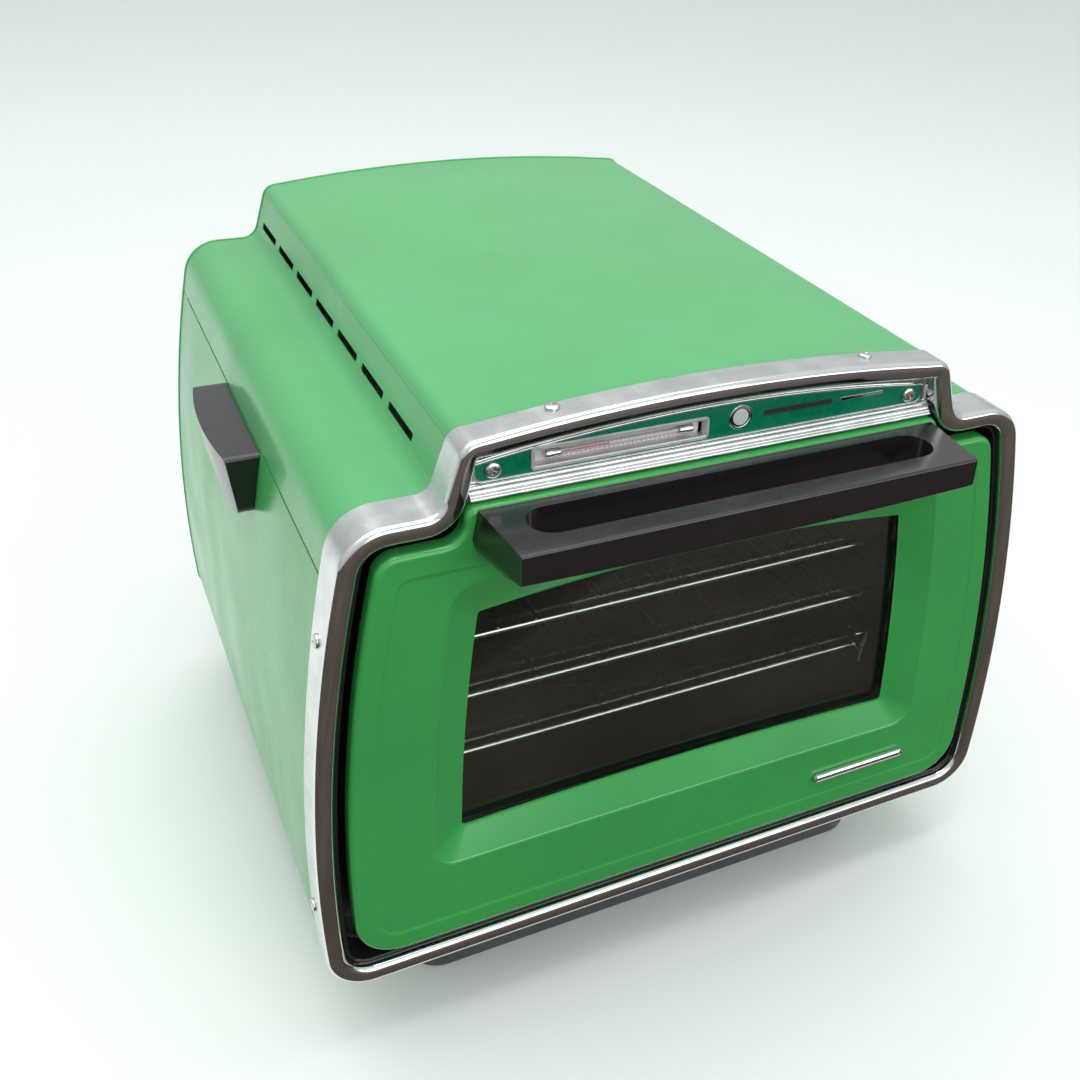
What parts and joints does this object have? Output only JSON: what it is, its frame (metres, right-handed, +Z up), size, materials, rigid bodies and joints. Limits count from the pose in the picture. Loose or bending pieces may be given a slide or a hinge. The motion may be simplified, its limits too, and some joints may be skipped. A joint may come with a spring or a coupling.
{
  "type": "stove-top oven",
  "caption": "Domed sheet-metal oven that stands over a gas burner, with a drop-down window door, wire racks and carrying handles.",
  "frame": {"origin": "on the table, at the middle of the whole oven's footprint box, door handle included", "axes": "+X to the right seen from the front, +Y into the depth away from the door, +Z up"},
  "size_m": [0.4276, 0.4438, 0.375],
  "materials": {
    "green_enamel_top": "gloss",
    "green_enamel_side": "gloss",
    "green_enamel_rear": "gloss",
    "green_enamel_door": "gloss",
    "dark_enamel": "satin",
    "oven_enamel": "gloss",
    "black_sheet": "satin",
    "chrome": "polished",
    "steel_screw": "satin",
    "zinc_sheet": "satin",
    "green_foil": "metallic",
    "ribbed_aluminium": "bright",
    "scale_card": "matte",
    "tube_glass": "clear",
    "bright_clip": "polished",
    "brass_stem": "satin",
    "rope_gasket": "woven",
    "bakelite": "satin",
    "oven_glass": "clear",
    "rack_wire": "bright"
  },
  "bodies": {
    "case": {"top_cover": "green_enamel_top", "left_side_panel": "green_enamel_side", "right_side_panel": "green_enamel_side", "seam_rail_left": "black_sheet", "seam_rail_right": "black_sheet", "rear_panel": "green_enamel_rear", "floor_pan": "dark_enamel", "base_skirt": "dark_enamel", "heat_funnel": "oven_enamel", "oven_liner": "oven_enamel", "flame_spreader": "oven_enamel", "heat_shield": "zinc_sheet", "front_bulkhead": "black_sheet", "door_gasket": "rope_gasket", "front_frame": "chrome", "fascia_carrier": "zinc_sheet", "fascia_plate": "green_foil", "fascia_ring": "ribbed_aluminium", "trim_strip": "ribbed_aluminium", "thermometer_frame": "ribbed_aluminium", "thermometer_scale": "scale_card", "thermometer_tube": "tube_glass", "thermometer_clips": "bright_clip", "thermometer_stem": "brass_stem", "frame_screws": "steel_screw", "fascia_screws": "steel_screw", "rear_screws": "steel_screw", "base_screws": "steel_screw", "carry_handle_left": "bakelite", "carry_handle_right": "bakelite", "carry_handle_screws": "steel_screw", "hinge_bracket_left": "zinc_sheet", "hinge_bracket_right": "zinc_sheet", "hinge_pin_left": "steel_screw", "hinge_pin_right": "steel_screw"},
    "door": {"door_outer": "green_enamel_door", "door_inner": "black_sheet", "door_glass": "oven_glass", "glass_retainer": "zinc_sheet", "door_handle": "bakelite", "handle_screws": "steel_screw", "door_badge": "chrome", "hinge_leaf_left": "zinc_sheet", "hinge_leaf_right": "zinc_sheet"},
    "rack_upper": {"rack_upper": "rack_wire"},
    "rack_middle": {"rack_middle": "rack_wire"},
    "rack_lower": {"rack_lower": "rack_wire", "rack_hook": "rack_wire"}
  },
  "joints": [
    {"name": "door_hinge", "type": "hinge", "parent": "case", "child": "door", "pos_m": [0, -0.1745, 0.076], "axis": [1, 0, 0], "range_deg": [0, 90]},
    {"name": "rack_lower_slide", "type": "slide", "parent": "case", "child": "rack_lower", "axis": [0, -1, 0], "range_m": [0, 0.1]},
    {"name": "rack_middle_slide", "type": "slide", "parent": "case", "child": "rack_middle", "axis": [0, -1, 0], "range_m": [-0.012, 0.009]},
    {"name": "rack_upper_slide", "type": "slide", "parent": "case", "child": "rack_upper", "axis": [0, -1, 0], "range_m": [-0.012, 0.009]}
  ],
  "couplings": [
    {"joint": "rack_lower_slide", "follows": "door_hinge", "m_per_rad": 0.0635}
  ]
}
